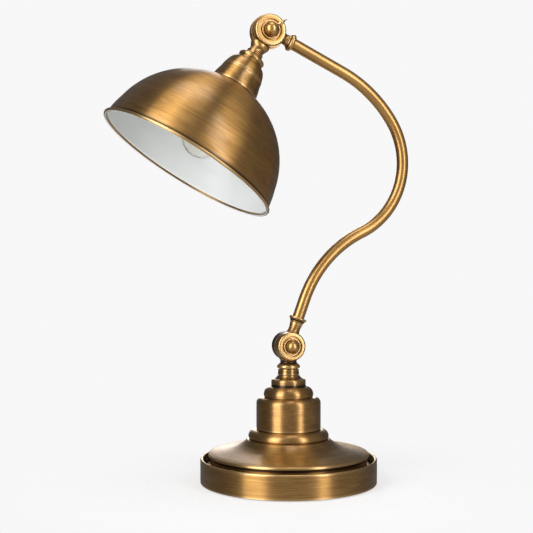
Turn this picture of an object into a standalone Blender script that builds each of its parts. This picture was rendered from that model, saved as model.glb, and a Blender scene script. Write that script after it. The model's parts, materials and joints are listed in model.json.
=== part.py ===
"""Swing arm desk lamp in antique brass.

A turned, weighted base carries a stem that swivels. A two-disc knuckle on the
stem carries an S-curved arm, and a second knuckle on the arm's end carries a
spun dome shade with its lampholder and bulb. Each knuckle is clamped by a
screw with a ball knob.

The base's axis is +Z and its underside is z = 0. The arm and the shade lie in
the XZ plane, both knuckles turn about Y, and the knobs face -Y.
Lengths below are in millimetres and angles in degrees.
"""
from math import asin, cos, degrees, hypot, pi, radians, sin

import bmesh
import bpy
from mathutils import Vector

MM = 0.001
GAP = 0.3                      # clearance left between neighbouring pieces
WIDE = 32                      # sides of the widest turned pieces
FINE = 20                      # sides of the others, unless they are tiny
SMALL = 12

# Base
DRUM_RADIUS = 82.5
DRUM_HEIGHT = 23.0
DRUM_FLANGE = 15.0             # floor of the dark channel inside the drum's lip
SHEET = 1.2                    # wall of the spun brass base pieces
DISC_TOP_RADIUS = 75.0
DISC_TOP = 28.0
DISC_SIDE = 3.0                # height of the disc's upright edge above its recessed foot
DISC_FOOT_RADIUS = 73.2
FLARE_TOP_RADIUS = 38.8
FLARE_TOP = 40.8
BEAD_RING_RADIUS = 37.6
COLUMN_RADIUS = 30.1
COLUMN_BOTTOM = 49.5
COLUMN_TOP = 79.3
CAP_TOP = 99.9
TUBE_RADIUS = 4.8
WEIGHT_TOP = 13.4
CORD_HEIGHT = 8.0

# Knuckles
LOWER_PIVOT = 127.1            # height of the lower knuckle's axis
LOWER_HUB_RADIUS = 13.5
LOWER_HUB_FACE = 11.2          # from the lamp's middle plane to a hub's outer face
UPPER_HUB_RADIUS = 15.1
UPPER_REAR_RADIUS = 16.2       # the shade's disc is a little wider than the arm's
UPPER_HUB_FACE = 9.2
HUB_INNER_FACE = 0.6
HUB_CLEARANCE = 0.6
NECK_INSET = 0.8               # of a neck's flattened side behind its hub's face
CUT_MARGIN = 0.2               # that a cutter goes past the disc joined after it
RECESS_DEPTH = 1.8
RECESS_GROOVE = 1.25           # channel left open round the ring in the recess
RING_WIDTH = 1.3
SCREW_RADIUS = 2.5
SCREW_BORE = 3.0
SCREW_SHORT = 2.5              # from the screw's end to the rear hub's outer face
LOWER_BALL_RADIUS = 6.3
UPPER_BALL_RADIUS = 7.0
BALL_GAP = 0.5                 # between a ball knob and the ring round it
BALL_RISE = 1.2                # of a ball's centre above its hub's face
LOWER_HUB = (LOWER_HUB_RADIUS, LOWER_HUB_FACE, LOWER_BALL_RADIUS)
UPPER_HUB = (UPPER_HUB_RADIUS, UPPER_HUB_FACE, UPPER_BALL_RADIUS)
UPPER_REAR_HUB = (UPPER_REAR_RADIUS, UPPER_HUB_FACE, UPPER_BALL_RADIUS)
WASHER_RADIUS = 9.8
LEVER_REACH = 18.5
LEVER_ANGLE = 35.0             # above +X, seen from the front

# Arm, as a chain of straights and tangent arcs from the lower pivot to the upper knuckle
ARM_RADIUS = 5.6
ARM_BORE = 4.4
ARM_LEAN = 20.0                # of its first straight, from vertical towards +X
ARM_FIRST_STRAIGHT = 46.8
ARM_BENDS = ((112.2, 44.8, 7), (74.5, -97.7, 11), (123.3, -31.5, 5))  # radius, turn, steps
ARM_LAST_STRAIGHT = 81.3
ARM_DROP = 1.4                 # of the upper pivot below the line of the last straight
ARM_INSET_LOWER = 25.0         # from the lower pivot to the tube's end
ARM_INSET_UPPER = 22.2

# Shade, measured along its axis from the rim's plane
SHADE_TILT = 31.8              # of the axis from vertical
SHADE_PIVOT = 149.0
DOME_RADIUS = 83.0
DOME_CENTRE = 4.6
DOME_STEPS = 5
SKIRT_RADIUS = 84.6
RIM_RADIUS = 87.0
RIM_BEAD = 1.3
SHADE_WALL = 0.7
LINING_WALL = 0.5
SHADE_HOLE = 20.5
BULB_CENTRE = 32.0
BULB_RADIUS = 21.0

BRASS = ((0.35, 0.20, 0.075), 0.32, 1.0)
STEEL = ((0.50, 0.50, 0.50), 0.35, 1.0)
IRON = ((0.05, 0.05, 0.05), 0.70, 1.0)
FELT = ((0.02, 0.03, 0.02), 0.95, 0.0)
ENAMEL = ((0.80, 0.80, 0.78), 0.30, 0.0)
PLASTIC = ((0.03, 0.03, 0.03), 0.45, 0.0)
GLASS = ((0.90, 0.90, 0.88), 0.05, 0.0)
FINISHES = {
    "brass": BRASS, "steel": STEEL, "iron": IRON, "felt": FELT,
    "enamel": ENAMEL, "plastic": PLASTIC, "glass": GLASS,
}


def clear_scene():
    for obj in list(bpy.data.objects):
        bpy.data.objects.remove(obj, do_unlink=True)


def material(slot):
    """The named finish, made on its first use."""
    found = bpy.data.materials.get(slot)
    if found:
        return found
    colour, roughness, metallic = FINISHES[slot]
    new = bpy.data.materials.new(slot)
    new.use_nodes = True
    shader = new.node_tree.nodes["Principled BSDF"]
    shader.inputs["Base Color"].default_value = (*colour, 1.0)
    shader.inputs["Roughness"].default_value = roughness
    shader.inputs["Metallic"].default_value = metallic
    return new


def frame(name, location, rotation=(0.0, 0.0, 0.0), parent=None):
    """An empty that pieces are parented to; its +Z is their turning axis."""
    empty = bpy.data.objects.new(name, None)
    bpy.context.scene.collection.objects.link(empty)
    empty.location = [value * MM for value in location]
    empty.rotation_euler = [radians(value) for value in rotation]
    empty.parent = parent
    return empty


def arc(centre, radius, start, end, steps):
    """Points of an arc in the outline's (radius, height) plane."""
    points = []
    for step in range(steps + 1):
        angle = radians(start + (end - start) * step / steps)
        points.append((centre[0] + radius * cos(angle), centre[1] + radius * sin(angle)))
    return points


def mesh_object(name, bm, slot, parent):
    bmesh.ops.recalc_face_normals(bm, faces=bm.faces[:])
    mesh = bpy.data.meshes.new(name)
    bm.to_mesh(mesh)
    bm.free()
    mesh.materials.append(material(slot))
    mesh.shade_smooth()
    mesh.set_sharp_from_angle(angle=radians(35))
    obj = bpy.data.objects.new(name, mesh)
    bpy.context.scene.collection.objects.link(obj)
    obj.parent = parent
    return obj


def turned(name, outline, slot, parent, sides=FINE):
    """A solid of revolution about local +Z from a closed (radius, height) outline."""
    bm = bmesh.new()
    corners = [bm.verts.new((r * MM, 0.0, z * MM)) for r, z in outline]
    edges = [bm.edges.new((a, b)) for a, b in zip(corners, corners[1:])]
    if outline[0][0] > 0.0 or outline[-1][0] > 0.0:
        edges.append(bm.edges.new((corners[-1], corners[0])))
    bmesh.ops.spin(bm, geom=corners + edges, cent=(0, 0, 0), axis=(0, 0, 1),
                   angle=2 * pi, steps=sides, use_merge=True)
    bmesh.ops.remove_doubles(bm, verts=bm.verts[:], dist=1e-6)
    return mesh_object(name, bm, slot, parent)


def tube_outline(inner, outer, bottom, top):
    return [(outer, top), (outer, bottom), (inner, bottom), (inner, top)]


def helper(obj):
    """Mark an object as a cutter or a joined form, not a piece of its own."""
    obj.hide_render = True
    obj.display_type = "WIRE"
    return obj


def boolean(obj, other, operation):
    step = obj.modifiers.new(other.name, "BOOLEAN")
    step.operation = operation
    step.solver = "EXACT"
    step.object = helper(other)


def cutter_box(name, low, high, parent):
    bm = bmesh.new()
    bmesh.ops.create_cube(bm, size=1.0)
    size = [(b - a) * MM for a, b in zip(low, high)]
    middle = [(a + b) / 2 * MM for a, b in zip(low, high)]
    bmesh.ops.scale(bm, vec=size, verts=bm.verts[:])
    bmesh.ops.translate(bm, vec=middle, verts=bm.verts[:])
    return mesh_object(name, bm, "steel", parent)


# ---------------------------------------------------------------- base

def drum_outline():
    lip = 1.25
    lip_centre = (DRUM_RADIUS - lip, DRUM_HEIGHT - lip)
    flange = DRUM_FLANGE
    inner = DRUM_RADIUS - SHEET
    return (arc(lip_centre, lip, 0, 170, 3)
            + [(DRUM_RADIUS - 2 * lip, flange), (TUBE_RADIUS + 1.0, flange),
               (TUBE_RADIUS + 1.0, flange - SHEET), (inner, flange - SHEET),
               (inner, 0.8), (DRUM_RADIUS, 0.8)])


def flare_height(radius):
    """The dome's upper side: a gentle cone that turns up steeply at the column."""
    share = (DISC_TOP_RADIUS - 2.4 - radius) / 32.1
    return DISC_TOP + 0.45 + 6.6 * share + 3.8 * share ** 6


def dome_outline():
    """The upper disc on its recessed foot, and the concave sweep up to the column."""
    bottom = DRUM_FLANGE + GAP
    foot_top = DISC_TOP - DISC_SIDE
    foot = [(DISC_FOOT_RADIUS, bottom), (DISC_FOOT_RADIUS, foot_top),
            (DISC_TOP_RADIUS, foot_top + 0.5)]
    edge = arc((DISC_TOP_RADIUS - 1.5, DISC_TOP - 1.5), 1.5, 15, 80, 2)
    sweep = [(radius, flare_height(radius)) for radius in (66.0, 55.0, 46.0, 41.5, FLARE_TOP_RADIUS)]
    seat = [(36.9, FLARE_TOP), (COLUMN_RADIUS - 4.0, FLARE_TOP)]
    under = [(COLUMN_RADIUS - 4.0, FLARE_TOP - 1.6), (38.0, FLARE_TOP - 2.6), (52.0, 31.0),
             (66.0, 27.2), (DISC_FOOT_RADIUS - 1.4, foot_top - 0.6),
             (DISC_FOOT_RADIUS - 1.4, bottom)]
    return list(reversed(foot + edge + sweep + seat + under))


def bead_ring_outline():
    bottom = FLARE_TOP + GAP
    swell = arc((BEAD_RING_RADIUS - 6.1, 43.3), 6.1, 6, 80, 4)
    return ([(COLUMN_RADIUS - 4.0, bottom), (36.5, bottom)]
            + arc((BEAD_RING_RADIUS - 2.0, bottom + 2.0), 2.0, -60, -10, 2)
            + swell + [(COLUMN_RADIUS - 4.0, COLUMN_BOTTOM)])


def column_outline():
    bottom = COLUMN_BOTTOM + GAP
    shoulder = arc((COLUMN_RADIUS - 5.1, COLUMN_TOP - 5.1), 5.1, 0, 90, 3)
    return ([(COLUMN_RADIUS - SHEET, bottom), (COLUMN_RADIUS, bottom)] + shoulder
            + [(TUBE_RADIUS + 0.5, COLUMN_TOP), (TUBE_RADIUS + 0.5, COLUMN_TOP - SHEET),
               (COLUMN_RADIUS - SHEET - 2.0, COLUMN_TOP - SHEET),
               (COLUMN_RADIUS - SHEET, COLUMN_TOP - 5.0)])


def cap_outline():
    """A round torus step, a straight step with a soft shoulder, and a cove."""
    bottom = COLUMN_TOP + GAP
    torus = arc((15.9, 82.3), 7.3, -21, 86, 5)
    shoulder = arc((14.3, 94.6), 1.8, 0, 80, 2)
    return ([(TUBE_RADIUS + 0.5, bottom)] + torus + [(16.1, 89.7)] + shoulder
            + [(12.4, 97.3), (10.8, 98.7), (10.2, CAP_TOP), (TUBE_RADIUS + 0.5, CAP_TOP)])


def neck_cup_outline():
    bottom = CAP_TOP + GAP
    return [(TUBE_RADIUS + 0.5, bottom), (9.4, bottom), (10.1, bottom + 0.5),
            (10.1, bottom + 1.6), (9.65, bottom + 3.0), (9.65, 105.6), (9.0, 106.0),
            (6.4, 106.0), (6.4, 102.2), (TUBE_RADIUS + 0.5, 102.2)]


def build_base():
    base = frame("base_axis", (0, 0, 0))
    turned("felt_pad", [(0, 2.0), (79.5, 2.0), (79.5, 0), (0, 0)], "felt", base, WIDE)
    drum = turned("base_drum", drum_outline(), "brass", base, WIDE)
    weight = turned("base_weight", [
        (TUBE_RADIUS + 0.6, WEIGHT_TOP), (78.0, WEIGHT_TOP), (78.0, 2.3), (14.0, 2.3),
        (14.0, 9.0), (TUBE_RADIUS + 0.6, 9.0)], "iron", base, WIDE)
    slot = cutter_box("cord_slot", (-4.5, 8.0, 1.0), (4.5, 90.0, 12.0), base)
    boolean(weight, slot, "DIFFERENCE")
    turned("base_dome", dome_outline(), "brass", base, WIDE)
    turned("bead_ring", bead_ring_outline(), "brass", base, 28)
    turned("column_drum", column_outline(), "brass", base, 28)
    turned("column_cap", cap_outline(), "brass", base)
    turned("neck_cup", neck_cup_outline(), "brass", base)
    turned("threaded_tube", tube_outline(3.2, TUBE_RADIUS, 2.6, 101.5), "steel", base, SMALL)
    turned("base_washer", tube_outline(TUBE_RADIUS + 0.4, 12.0, 7.7, 8.7), "steel", base, SMALL)
    turned("base_nut", tube_outline(TUBE_RADIUS + 1.0, 9.2, 3.2, 7.4), "steel", base, 6)

    rear = frame("cord_axis", (0, 0, CORD_HEIGHT), (-90, 0, 0), base)
    hole = turned("cord_hole", [(0, 90), (4.4, 90), (4.4, 79), (0, 79)], "steel", rear, SMALL)
    boolean(drum, hole, "DIFFERENCE")
    turned("cord_bushing", [(3.0, 79.6), (4.0, 79.6), (4.0, 83.0), (5.8, 83.0), (5.8, 84.0),
                            (5.2, 84.6), (3.0, 84.6)], "plastic", rear, SMALL)


# ---------------------------------------------------------------- knuckles

def ring_radii(ball):
    """Inner and outer radius of the ring round a ball knob."""
    inner = ball + BALL_GAP
    return inner, inner + RING_WIDTH


def hub_outline(radius, face, ball):
    """Half of a knuckle, seen along its axis from the middle plane outwards."""
    recess = ring_radii(ball)[1] + RECESS_GROOVE
    return ([(SCREW_BORE, HUB_INNER_FACE), (radius - 0.5, HUB_INNER_FACE),
             (radius, HUB_INNER_FACE + 0.5)]
            + arc((radius - 2.0, face - 2.0), 2.0, 0, 90, 2)
            + [(recess, face), (recess, face - RECESS_DEPTH),
               (SCREW_BORE, face - RECESS_DEPTH)])


def casting(name, neck, pivot, hub, partner, side, parent):
    """A turned neck joined to one hub disc, hollowed where the other disc turns.

    pivot is the knuckle's centre in the parent's frame, hub the disc's radius,
    face and ball, and partner the radius of the disc that it turns against.
    side is -1 for the front disc and +1 for the rear one.
    """
    _, face, ball = hub
    body = turned(name, neck, "brass", parent)
    depth = (face - NECK_INSET) * MM
    for vert in body.data.vertices:
        distance = hypot(vert.co.x, vert.co.y)
        if distance > depth:
            vert.co.y *= depth / distance
    facing = frame(name + "_out", pivot, (-90 * side, 0, 0), parent)
    reach = 30.0
    room = partner + HUB_CLEARANCE
    inner_face = HUB_INNER_FACE + CUT_MARGIN
    groove = ring_radii(ball)[1] + RECESS_GROOVE + CUT_MARGIN
    floor = face - RECESS_DEPTH - CUT_MARGIN
    cuts = (
        ("_sweep", [(0, inner_face), (room, inner_face), (room, -reach), (0, -reach)], FINE),
        ("_bore", [(0, reach), (SCREW_BORE + 1.0, reach), (SCREW_BORE + 1.0, -reach),
                   (0, -reach)], SMALL),
        ("_recess", [(0, reach), (groove, reach), (groove, floor), (0, floor)], FINE),
    )
    for suffix, outline, sides in cuts:
        boolean(body, turned(name + suffix, outline, "steel", facing, sides), "DIFFERENCE")
    disc = turned(name + "_disc", hub_outline(*hub), "brass", facing)
    boolean(body, disc, "UNION")


def cap_nut(name, hub, parent):
    """Domed nut that closes the rear hub; the parent's +Z points to the rear."""
    _, face, radius = hub
    start = face - RECESS_DEPTH + GAP
    equator = face + BALL_RISE
    dome = arc((0, 0), radius, 0, 90, 3)
    cap = [(r, equator + height * 0.6) for r, height in dome[:-1]]
    outline = [(0, start), (radius, start)] + cap + [(0, equator + radius * 0.6)]
    turned(name, outline, "brass", parent, 16)


def clamp_knob(name, hub, parent):
    """Ball knob sunk in its hub, with the screw behind it; +Z points to the front."""
    _, face, ball = hub
    foot_start = face - RECESS_DEPTH + GAP
    centre = face + BALL_RISE
    dip = asin((centre - foot_start - GAP) / ball)
    foot = ball * cos(dip)
    dome = arc((0, centre), ball, -degrees(dip), 90, 5)[:-1]
    screw_end = SCREW_SHORT - face
    outline = ([(0, screw_end), (SCREW_RADIUS, screw_end), (SCREW_RADIUS, foot_start),
                (foot, foot_start)] + dome + [(0, centre + ball)])
    turned(name, outline, "brass", parent, 16)


def knob_ring(name, hub, parent):
    """Plain ring standing in the recess round a ball knob."""
    _, face, ball = hub
    inner, outer = ring_radii(ball)
    return turned(name, tube_outline(inner, outer, face - RECESS_DEPTH + GAP, face + 0.6),
                  "brass", parent)


def thumb_lever(parent):
    """The ring round the upper knob, with a pointed horn to push it round by."""
    ring = knob_ring("upper_lever", UPPER_HUB, parent)
    low = UPPER_HUB_FACE + GAP
    middle = sum(ring_radii(UPPER_BALL_RADIUS)) / 2
    sections = ((middle, 1.5, 1.5), (12.0, 1.9, 3.0), (14.5, 1.2, 2.2), (LEVER_REACH, 0.3, 0.6))
    bm = bmesh.new()
    rings = []
    for reach, half_width, height in sections:
        rings.append([bm.verts.new((reach * MM, y * MM, (low + z) * MM)) for y, z in (
            (-half_width, 0.0), (half_width, 0.0), (half_width * 0.7, height),
            (-half_width * 0.7, height))])
    for one, two in zip(rings, rings[1:]):
        for side in range(4):
            after = (side + 1) % 4
            bm.faces.new((one[side], one[after], two[after], two[side]))
    bm.faces.new(rings[0])
    bm.faces.new(rings[-1])
    horn = mesh_object("upper_lever_horn", bm, "brass", parent)
    horn.rotation_euler = (0, 0, radians(LEVER_ANGLE))
    boolean(ring, horn, "UNION")


# ---------------------------------------------------------------- stem and arm

def build_stem():
    swivel = frame("swivel_axis", (0, 0, 0))
    neck = [(0, LOWER_PIVOT - 5.0), (12.0, LOWER_PIVOT - 5.0), (10.2, LOWER_PIVOT - 9.0),
            (8.6, LOWER_PIVOT - 12.0), (7.8, 113.6), (7.6, 112.4), (8.4, 111.0), (10.0, 109.2)]
    neck += arc((9.5, 107.9), 1.4, 40, -60, 2)
    neck += [(8.6, 106.3), (6.0, 106.3), (6.0, 102.5), (0, 102.5)]
    pivot = (0, 0, LOWER_PIVOT)
    casting("swivel_stem", neck, pivot, LOWER_HUB, LOWER_HUB_RADIUS, 1, swivel)
    rear = frame("lower_rear", pivot, (-90, 0, 0), swivel)
    cap_nut("lower_cap_nut", LOWER_HUB, rear)


def arm_stations():
    """The arm's centre line as (x, z, lean) from the lower pivot to above the upper one."""
    x, z, lean = 0.0, LOWER_PIVOT, radians(ARM_LEAN)
    stations = [(x, z, lean)]

    def straight(length):
        nonlocal x, z
        x += length * sin(lean)
        z += length * cos(lean)
        stations.append((x, z, lean))

    straight(ARM_INSET_LOWER)
    straight(ARM_FIRST_STRAIGHT - ARM_INSET_LOWER)
    for radius, turn, steps in ARM_BENDS:
        part = radians(turn) / steps
        chord = 2 * radius * sin(abs(part) / 2)
        for _ in range(steps):
            middle = lean + part / 2
            x += chord * sin(middle)
            z += chord * cos(middle)
            lean += part
            stations.append((x, z, lean))
    straight(ARM_LAST_STRAIGHT - ARM_INSET_UPPER)
    straight(ARM_INSET_UPPER)
    return stations


def arm_tube(stations, parent):
    """Round hollow tube swept along the stations, open at both ends."""
    sides = SMALL
    bm = bmesh.new()
    skins = []
    for radius in (ARM_RADIUS, ARM_BORE):
        rings = []
        for x, z, lean in stations:
            across = Vector((cos(lean), 0, -sin(lean)))
            ring = []
            for side in range(sides):
                angle = 2 * pi * side / sides
                offset = across * (radius * cos(angle)) + Vector((0, radius * sin(angle), 0))
                ring.append(bm.verts.new((Vector((x, 0, z)) + offset) * MM))
            rings.append(ring)
        skins.append(rings)
    outer, inner = skins
    for rings in skins:
        for low, high in zip(rings, rings[1:]):
            for side in range(sides):
                after = (side + 1) % sides
                bm.faces.new((low[side], low[after], high[after], high[side]))
    for end in (0, -1):
        for side in range(sides):
            after = (side + 1) % sides
            bm.faces.new((outer[end][side], outer[end][after],
                          inner[end][after], inner[end][side]))
    tube = mesh_object("arm_tube", bm, "brass", parent)
    tube.matrix_parent_inverse = parent.matrix_world.inverted()


def ferrule(name, start, inset, points, parent):
    """Turned sleeve over a tube's end, with an end wall next to the knuckle.

    start is where the sleeve begins and inset where the tube does, both from
    the pivot; points are the sleeve's outside.
    """
    end = points[-1][1]
    bore = ARM_RADIUS + GAP
    outline = ([(2.5, start)] + points
               + [(bore, end), (bore, inset - GAP), (2.5, inset - GAP)])
    turned(name, outline, "brass", parent)


def build_arm():
    stations = arm_stations()
    pivot = frame("lower_pivot", (0, 0, LOWER_PIVOT))
    first = frame("arm_start", (0, 0, 0), (0, ARM_LEAN, 0), pivot)
    foot = [(0, 22.5), (5.9, 22.5), (5.9, 21.5), (5.4, 18.5), (5.3, 16.5), (5.6, 14.5),
            (6.6, 12.0), (8.6, 9.0), (11.5, 5.0), (0, 5.0)]
    casting("arm_foot", foot, (0, 0, 0), LOWER_HUB, LOWER_HUB_RADIUS, -1, first)
    lip = arc((7.4, 27.1), 1.0, -45, 90, 3)
    ferrule("lower_ferrule", 22.8, ARM_INSET_LOWER, [(6.1, 22.8), (6.8, 24.6)] + lip, first)
    bpy.context.view_layer.update()
    arm_tube(stations[1:-1], pivot)

    x, z, lean = stations[-1]
    drop = Vector((-cos(lean), 0, sin(lean))) * ARM_DROP
    upper = frame("upper_pivot", Vector((x, 0, z)) + drop)
    last = frame("arm_end", -drop, (0, degrees(lean) + 180.0, 0), upper)
    head = [(0, 19.5), (5.5, 19.5), (5.1, 17.2), (5.4, 15.6), (6.4, 13.8), (7.9, 11.6),
            (8.3, 10.2), (0, 10.2)]
    casting("arm_head", head, (ARM_DROP, 0, 0), UPPER_HUB, UPPER_REAR_RADIUS, -1, last)
    bead = arc((5.8, 23.7), 2.5, -75, 75, 4)
    ferrule("upper_ferrule", 19.8, ARM_INSET_UPPER, [(5.6, 19.8)] + bead, last)

    for name, place in (("lower_friction_washer", pivot), ("upper_friction_washer", upper)):
        facing = frame(name + "_axis", (0, 0, 0), (90, 0, 0), place)
        turned(name, tube_outline(SCREW_BORE + 0.2, WASHER_RADIUS, -0.3, 0.3), "plastic",
               facing, 16)

    front = frame("lower_front", (0, 0, 0), (90, 0, 0), pivot)
    knob_ring("lower_ring", LOWER_HUB, front)
    clamp_knob("lower_knob", LOWER_HUB, front)
    front = frame("upper_front", (0, 0, 0), (90, 0, 0), upper)
    thumb_lever(front)
    clamp_knob("upper_knob", UPPER_HUB, front)
    return upper


# ---------------------------------------------------------------- shade

def dome_points(radius, widest, steps):
    """The dome's skin from near the skirt up to the hole in its crown."""
    start = degrees(asin((21.0 - DOME_CENTRE) / radius))
    end = 90 - degrees(asin(SHADE_HOLE / radius))
    slim = widest - SKIRT_RADIUS
    skirt = [(84.6 + slim, 3.2), (84.0 + slim, 9.0), (82.9 + slim, 15.0)]
    return skirt + arc((0, DOME_CENTRE), radius, start, end, steps)


def shell_outline():
    outer = dome_points(DOME_RADIUS, SKIRT_RADIUS, DOME_STEPS)
    inner = dome_points(DOME_RADIUS - SHADE_WALL, SKIRT_RADIUS - SHADE_WALL, DOME_STEPS)
    bead = arc((RIM_RADIUS - RIM_BEAD, RIM_BEAD), RIM_BEAD, 240, 480, 4)
    return [(inner[0][0], 0.6)] + bead + outer + list(reversed(inner))


def lining_outline():
    outside = SHADE_WALL + GAP
    inside = outside + LINING_WALL
    outer = dome_points(DOME_RADIUS - outside, SKIRT_RADIUS - outside, DOME_STEPS)
    inner = dome_points(DOME_RADIUS - inside, SKIRT_RADIUS - inside, DOME_STEPS)
    return outer + list(reversed(inner))


def bulb_outline():
    """Thin glass globe with a neck, open where it enters its screw cap."""
    neck = 12.4
    wall = 0.8
    join = degrees(asin((neck + 1.4) / BULB_RADIUS))
    globe = arc((0, BULB_CENTRE), BULB_RADIUS, -90, 90 - join, 8)[1:]
    inner = arc((0, BULB_CENTRE), BULB_RADIUS - wall, 90 - join, -90, 8)[:-1]
    return ([(0, BULB_CENTRE - BULB_RADIUS)] + globe + [(neck, 55.0), (neck, 62.9),
            (neck - wall, 62.9), (neck - wall, 55.0)] + inner
            + [(0, BULB_CENTRE - BULB_RADIUS + wall)])


def build_shade(upper):
    along = (sin(radians(SHADE_TILT)), cos(radians(SHADE_TILT)))
    axis = frame("shade_axis", (-SHADE_PIVOT * along[0], 0, -SHADE_PIVOT * along[1]),
                 (0, SHADE_TILT, 0), upper)
    neck = [(0, 138.0), (8.0, 138.0), (9.2, 134.4), (9.3, 132.8), (8.6, 131.2), (7.4, 129.0),
            (6.9, 127.2), (7.3, 125.5), (0, 125.5)]
    pivot = (0, 0, SHADE_PIVOT)
    casting("shade_knuckle", neck, pivot, UPPER_REAR_HUB, UPPER_HUB_RADIUS, 1, axis)
    rear = frame("upper_rear", pivot, (-90, 0, 0), axis)
    cap_nut("upper_cap_nut", UPPER_REAR_HUB, rear)

    bore = 5.1
    turned("neck_collar", [(bore, 121.7), (7.4, 121.7), (8.1, 122.6), (7.6, 123.4), (8.1, 124.2),
                           (7.5, 125.2), (bore, 125.2)], "brass", axis)
    turned("cap_bead", [(bore, 115.0), (12.2, 115.0)]
           + arc((10.4, 117.6), 2.5, -50, 60, 4) + [(9.7, 121.0), (bore, 121.4)],
           "brass", axis)
    turned("socket_cap", [(bore, 114.7), (bore, 112.6), (12.6, 111.8), (15.9, 108.6),
                          (17.6, 104.6), (18.7, 101.4), (20.0, 101.4), (18.7, 105.5),
                          (17.2, 109.4), (15.6, 111.6), (12.9, 113.6), (12.6, 114.7)],
           "brass", axis)
    turned("socket_cup", [(21.9, 85.1), (23.0, 85.1), (22.9, 87.0), (22.4, 90.5), (21.4, 94.2),
                          (20.5, 98.0), (20.1, 101.1), (19.0, 101.1), (19.4, 98.0),
                          (20.3, 94.0), (21.3, 90.3), (21.8, 87.0)], "brass", axis)
    turned("socket_nipple", tube_outline(3.4, 4.8, 105.0, 125.1), "steel", axis, SMALL)
    turned("holder_body", [(0, 101.0), (15.0, 101.0), (18.5, 97.0), (18.5, 66.0), (15.2, 66.0),
                           (15.2, 92.0), (0, 92.0)], "plastic", axis)
    turned("holder_shell", tube_outline(14.2, 14.8, 68.0, 90.0), "steel", axis)
    turned("holder_contact", [(0, 91.7), (5.0, 91.7), (5.0, 90.4), (0, 90.4)],
           "steel", axis, SMALL)
    turned("shade_ring", [(18.9, 79.4), (23.2, 79.4), (24.4, 80.4), (24.4, 81.4), (18.9, 82.0)],
           "plastic", axis)
    turned("shade_shell", shell_outline(), "brass", axis, WIDE)
    turned("shade_lining", lining_outline(), "enamel", axis, WIDE)

    turned("bulb_glass", bulb_outline(), "glass", axis)
    turned("bulb_cap", [(11.0, 63.2), (13.4, 63.2), (13.4, 84.5), (6.5, 88.0), (4.6, 88.0),
                        (4.6, 87.0), (11.0, 83.0)], "steel", axis, 20)
    turned("bulb_contact", [(0, 88.8), (4.2, 88.8), (4.2, 86.4), (0, 86.4)], "steel", axis, SMALL)


def main():
    clear_scene()
    build_base()
    build_stem()
    upper = build_arm()
    build_shade(upper)


main()
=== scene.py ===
"""The looks of the swing arm desk lamp in antique brass.

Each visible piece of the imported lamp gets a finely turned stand-in with rounded
edges, and every finish is made of nodes. Lengths in the outlines are in
millimetres, as (radius, height) along a piece's own axis.
"""
import json
from math import asin, atan2, cos, degrees, hypot, pi, radians, sin

import bmesh
import bpy
from mathutils import Matrix, Vector


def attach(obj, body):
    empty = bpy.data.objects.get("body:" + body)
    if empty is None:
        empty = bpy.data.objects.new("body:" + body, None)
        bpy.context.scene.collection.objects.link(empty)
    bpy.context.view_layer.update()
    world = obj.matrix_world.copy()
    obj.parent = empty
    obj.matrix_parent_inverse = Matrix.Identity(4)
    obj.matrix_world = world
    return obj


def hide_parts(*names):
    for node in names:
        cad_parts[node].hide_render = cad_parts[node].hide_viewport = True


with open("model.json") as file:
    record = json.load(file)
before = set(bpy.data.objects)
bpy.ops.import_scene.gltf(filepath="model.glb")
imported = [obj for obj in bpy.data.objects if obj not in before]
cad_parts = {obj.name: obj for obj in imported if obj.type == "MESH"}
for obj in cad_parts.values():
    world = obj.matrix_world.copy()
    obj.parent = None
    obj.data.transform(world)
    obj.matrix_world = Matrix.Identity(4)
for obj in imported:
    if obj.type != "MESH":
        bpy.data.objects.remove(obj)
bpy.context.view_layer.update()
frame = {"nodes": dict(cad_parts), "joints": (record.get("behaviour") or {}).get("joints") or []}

MM = 0.001
ON_AXIS = 1e-6         # a radius or length this small counts as none
UV = "turned"
# per-point mark: pale rubbed edges that also paint a highlight, dark grooves that paint shade along
# with the patina
WEAR_AND_SHADE = "wear_and_shade"
WEAR_AND_SHADE_STEP = 1.1        # between the points beside a corner; its edge wear, painted highlight and painted groove shade reach three steps
SHARP_ANGLE = 38.0     # degrees between faces from which their edge is shaded sharp
CAST_SHARP_ANGLE = 35.0

# ---------------------------------------------------------------- places

JOINTS = {joint["name"]: joint for joint in frame["joints"]}
LOWER_PIVOT = Vector(JOINTS["lower_tilt"]["pos_m"])
UPPER_PIVOT = Vector(JOINTS["upper_tilt"]["pos_m"])
ARM_LEAN = 20.0
ARM_BENDS = ((112.2, 44.8), (74.5, -97.7), (123.3, -31.5))
ARM_FIRST_STRAIGHT = 46.8
ARM_LAST_STRAIGHT = 81.3
ARM_DROP = 1.4
ARM_INSET_LOWER = 25.0
ARM_INSET_UPPER = 22.2
ARM_RADIUS = 5.6
ARM_BORE = 4.4
SHADE_TILT = 31.8
SHADE_PIVOT = 149.0

DRUM_RADIUS = 82.5
DRUM_HEIGHT = 23.0
DRUM_FLANGE = 15.0
DISC_TOP_RADIUS = 75.0
DISC_TOP = 28.0
DISC_SIDE = 3.0
DISC_FOOT_RADIUS = 73.2
FLARE_TOP = 40.8
BEAD_RING_RADIUS = 37.6
COLUMN_BOTTOM = 49.5
COLUMN_RADIUS = 30.1
COLUMN_TOP = 79.3
CAP_TOP = 99.9
LOWER_HUB = (13.5, 11.2, 6.3)  # radius, middle plane to outer face, and ball knob's radius
UPPER_HUB = (15.1, 9.2, 7.0)
UPPER_REAR_HUB = (16.2, 9.2, 7.0)
RECESS_DEPTH = 1.8
RECESS_GROOVE = 1.25
RING_WIDTH = 1.3
BALL_GAP = 0.5
BALL_RISE = 1.2
HUB_INNER_FACE = 0.6
HUB_CLEARANCE = 0.6
NECK_INSET = 0.8
CUT_MARGIN = 0.2
SCREW_SHORT = 2.5
DOME_RADIUS = 83.0
DOME_CENTRE = 4.6
SKIRT_RADIUS = 84.6
SHADE_HOLE = 20.5
RIM_RADIUS = 87.0
RIM_BEAD = 1.3
BULB_CENTRE = 32.0
BULB_RADIUS = 21.0


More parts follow.
